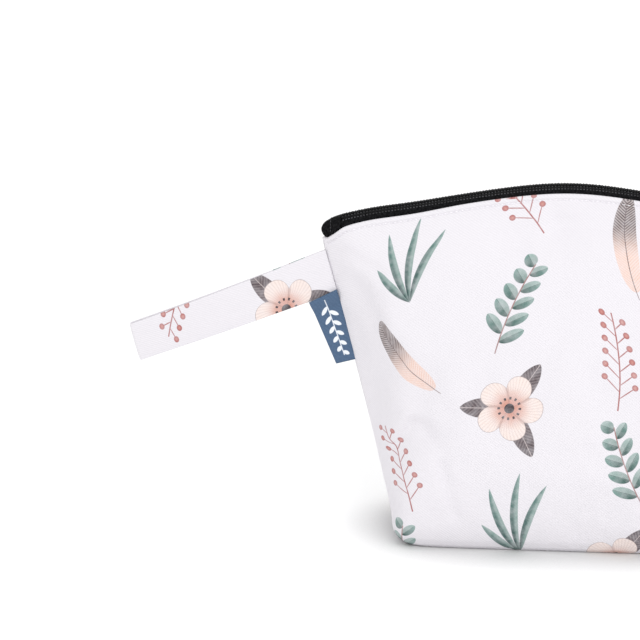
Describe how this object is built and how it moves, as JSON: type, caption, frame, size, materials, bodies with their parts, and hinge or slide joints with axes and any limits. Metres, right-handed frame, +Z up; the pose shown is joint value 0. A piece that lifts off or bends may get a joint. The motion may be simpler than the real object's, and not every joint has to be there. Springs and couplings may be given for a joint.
{
  "type": "toiletry bag",
  "caption": "Zip-top toiletry bag of printed white cloth with a boxed base, a wrist strap loop and a plain ribbon tab sewn into one side seam.",
  "frame": {"origin": "middle of the base, on the surface the bag stands on", "axes": "+X along the zip, away from the wrist strap; +Y from the front of the bag to its back; +Z up"},
  "size_m": [0.4009, 0.0898, 0.2102],
  "materials": {
    "cloth": "white polyester cloth with a fine twill and a small botanical print, matt",
    "zip_tape": "black woven polyester tape, matt",
    "zip_coil": "black nylon coil, low sheen",
    "slider": "black enamelled zinc, low sheen",
    "ribbon": "mid-blue woven ribbon, matt"
  },
  "bodies": {
    "root": {"bag_body": "cloth", "zip_tape_front": "zip_tape", "zip_tape_back": "zip_tape", "zip_coil": "zip_coil", "zip_end_left": "zip_tape", "zip_end_right": "zip_tape", "zip_slider": "slider", "wrist_strap": "cloth", "label_tab": "ribbon"}
  },
  "joints": []
}
